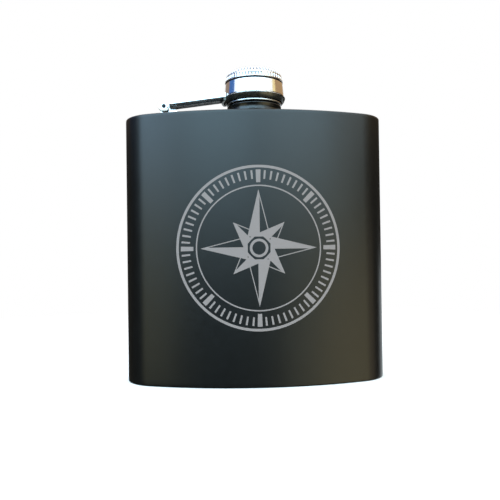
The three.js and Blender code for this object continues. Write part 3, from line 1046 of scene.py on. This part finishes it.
def floor():
    """A pale disc that fades out into the white backdrop. Polished surfaces don't mirror it, so that
    they show the room instead, as they do over a dark table."""
    outline = arc(0, 0, 500.0, 0, 2 * math.pi, 64)[:-1]
    mesh = mesh_from("floor", ([(x, y, -0.02) for x, y in outline], [tuple(range(64))]))
    finish = Finish("pale_floor", (0.85, 0.78, 0.73), 0.9, specular=0.0)
    away = finish.nodes.new("ShaderNodeVectorMath")
    away.operation = "LENGTH"
    finish.links.new(finish.place, away.inputs[0])
    fade = finish.ranged(away.outputs["Value"], 1.0, 0.0, 0.06, 0.3)
    finish.links.new(fade, finish.shader.inputs["Alpha"])
    mesh.materials.append(finish.material)
    obj = bpy.data.objects.new("floor", mesh)
    bpy.context.scene.collection.objects.link(obj)
    obj.visible_glossy = False
    obj.visible_shadow = False


def softbox(name, azimuth, elevation, radiance, distance=900.0):
    """A panel that covers these angles seen from the flask. Azimuth 0 is straight in front, and
    positive azimuths are to the right."""
    middle = math.radians(sum(azimuth) / 2)
    lift = math.radians(sum(elevation) / 2)
    aim = Vector((0.0, 0.0, BODY_TOP / 2))
    out = Vector((math.sin(middle) * math.cos(lift), -math.cos(middle) * math.cos(lift), math.sin(lift)))
    across = min(azimuth[1] - azimuth[0], 90.0)
    width = 2 * distance * math.tan(math.radians(across) / 2) * max(math.cos(lift), 0.7)
    height = 2 * distance * math.tan(math.radians(elevation[1] - elevation[0]) / 2)
    light = bpy.data.lights.new(name, "AREA")
    light.shape = "RECTANGLE"
    light.size, light.size_y = width * MM, height * MM
    strongest = max(radiance)
    light.color = [c / strongest for c in radiance]
    light.energy = strongest * math.pi * light.size * light.size_y
    obj = bpy.data.objects.new(name, light)
    bpy.context.scene.collection.objects.link(obj)
    obj.location = (aim + out * distance) * MM
    obj.rotation_euler = out.to_track_quat("Z", "Y").to_euler()
    obj.visible_camera = False


def lights():
    """Cool light high in front, warm light low on both sides, coloured walls at the sides, a ceiling,
    and two panels behind that show mostly from other views."""
    softbox("sky_left", (-72, -34), (12, 48), (2.8, 4.4, 5.8))
    softbox("sky_middle", (-34, 4), (12, 48), (2.9, 4.6, 5.7))
    softbox("sky_right", (4, 42), (12, 48), (2.8, 4.1, 4.9))
    softbox("sky_edge", (42, 60), (12, 48), (1.9, 2.2, 2.2))
    softbox("low_left", (-68, -30), (4, 12), (1.7, 2.1, 2.1))
    softbox("low_middle", (-30, 8), (4, 12), (1.4, 1.8, 1.9))
    softbox("low_right", (8, 50), (4, 12), (1.5, 1.8, 1.7))
    softbox("white_left", (-86, -72), (19, 48), (1.6, 1.9, 2.3))
    softbox("white_right", (60, 75), (17, 48), (1.7, 1.7, 1.6))
    softbox("warm_left", (-66, -36), (-16, 3), (0.9, 0.87, 0.52))
    softbox("warm_near", (16, 32), (-32, 2), (0.8, 0.8, 0.55))
    softbox("warm_low", (32, 66), (-34, 2), (1.55, 1.35, 0.78))
    softbox("warm_edge", (66, 88), (-34, 2), (0.6, 0.48, 0.32))
    softbox("blue_wall", (-116, -86), (19, 36), (0.03, 0.19, 0.62))
    softbox("brown_wall", (-152, -116), (17, 36), (0.36, 0.26, 0.2))
    softbox("yellow_wall", (75, 88), (19, 34), (1.3, 1.05, 0.5))
    softbox("tan_wall", (88, 152), (19, 34), (0.55, 0.34, 0.16))
    softbox("upper_left", (-150, -95), (36, 56), (1.1, 1.15, 1.25))
    softbox("upper_right", (75, 150), (36, 56), (1.1, 1.05, 1.0))
    softbox("ceiling", (-180, 180), (56, 124), (2.3, 2.6, 2.8))
    softbox("back_high", (150, 210), (16, 56), (1.0, 1.0, 1.0))
    softbox("back_low", (120, 188), (-34, -2), (0.9, 1.0, 1.05))


def world():
    """White to the camera, and a dim brown room to everything else."""
    scene_world = bpy.data.worlds.new("studio")
    bpy.context.scene.world = scene_world
    scene_world.use_nodes = True
    nodes, links = scene_world.node_tree.nodes, scene_world.node_tree.links
    room = nodes["Background"]
    room.inputs["Color"].default_value = (0.055, 0.048, 0.036, 1.0)
    backdrop = nodes.new("ShaderNodeBackground")
    backdrop.inputs["Color"].default_value = (1.0, 1.0, 1.0, 1.0)
    mix = nodes.new("ShaderNodeMixShader")
    links.new(nodes.new("ShaderNodeLightPath").outputs["Is Camera Ray"], mix.inputs["Fac"])
    links.new(room.outputs["Background"], mix.inputs[1])
    links.new(backdrop.outputs["Background"], mix.inputs[2])
    links.new(mix.outputs["Shader"], nodes["World Output"].inputs["Surface"])


def camera():
    """Just below the middle of the body, a little to its left, and rolled by less than a degree."""
    data = bpy.data.cameras.new("camera")
    data.sensor_width = 36.0
    data.lens = 41.27
    obj = bpy.data.objects.new("camera", data)
    bpy.context.scene.collection.objects.link(obj)
    place = Vector((-11.54, FRONT_Y - 196.2, 45.1))
    yaw, pitch, roll = 0.0448, -0.0114, -0.01353
    turn = Matrix.Rotation(-yaw, 4, "Z") @ Matrix.Rotation(QUARTER - pitch, 4, "X")
    obj.matrix_world = Matrix.Translation(place * MM) @ turn @ Matrix.Rotation(roll, 4, "Z")
    bpy.context.scene.camera = obj


def build():
    coat, steel, bare = powder_coat(), polished_steel(), bare_steel()
    knurled = polished_steel("knurled_steel", 0.09, 0.2)
    piece("coated_wall", wall_shape(), "flask", coat, ["body_wall"])
    piece("coated_top", top_plate(), "flask", coat, ["top_plate"])
    piece("coated_base", base_plate(), "flask", coat, ["base_plate"])
    piece("front_ornament", ornament(), "flask", engraved_steel())
    piece("neck_collar", collar(), "flask", powder_coat("neck_coat", 0.2, 0.25), ["neck"])
    piece("threaded_spout", spout(), "flask", bare, ["neck"])
    piece("hinge_lug", hinge_bracket(), "flask", steel, ["hinge_bracket"])
    piece("hinge_cross_pin", hinge_pin(), "arm", pin_steel(), ["hinge_pin"])
    arm = piece("arm_and_ring", cap_arm(), "arm", steel, ["cap_arm"])
    # The arm's underside and the ring's curled wall get painted shade.
    paint_underside_shade(arm, underside_shade_steel())
    piece("seal_disc", seal(), "seal", silicone(), ["cap_seal"])
    piece("threaded_cup", thread_cup(), "cap", bare, ["thread_cup"])
    piece("cap_filler", cap_core(), "cap", cap_plastic(), ["cap_core"])
    cover = piece("cap_cover", cap_shell(), "cap", knurled, ["cap_shell"])
    # The groove and the grip's notches get painted shade.
    paint_groove_shade(cover, groove_shade_steel())
    paint_notch_shade(cover, notch_shade_steel())


bpy.context.scene.view_settings.view_transform = "Standard"
camera()
world()
lights()
floor()
build()
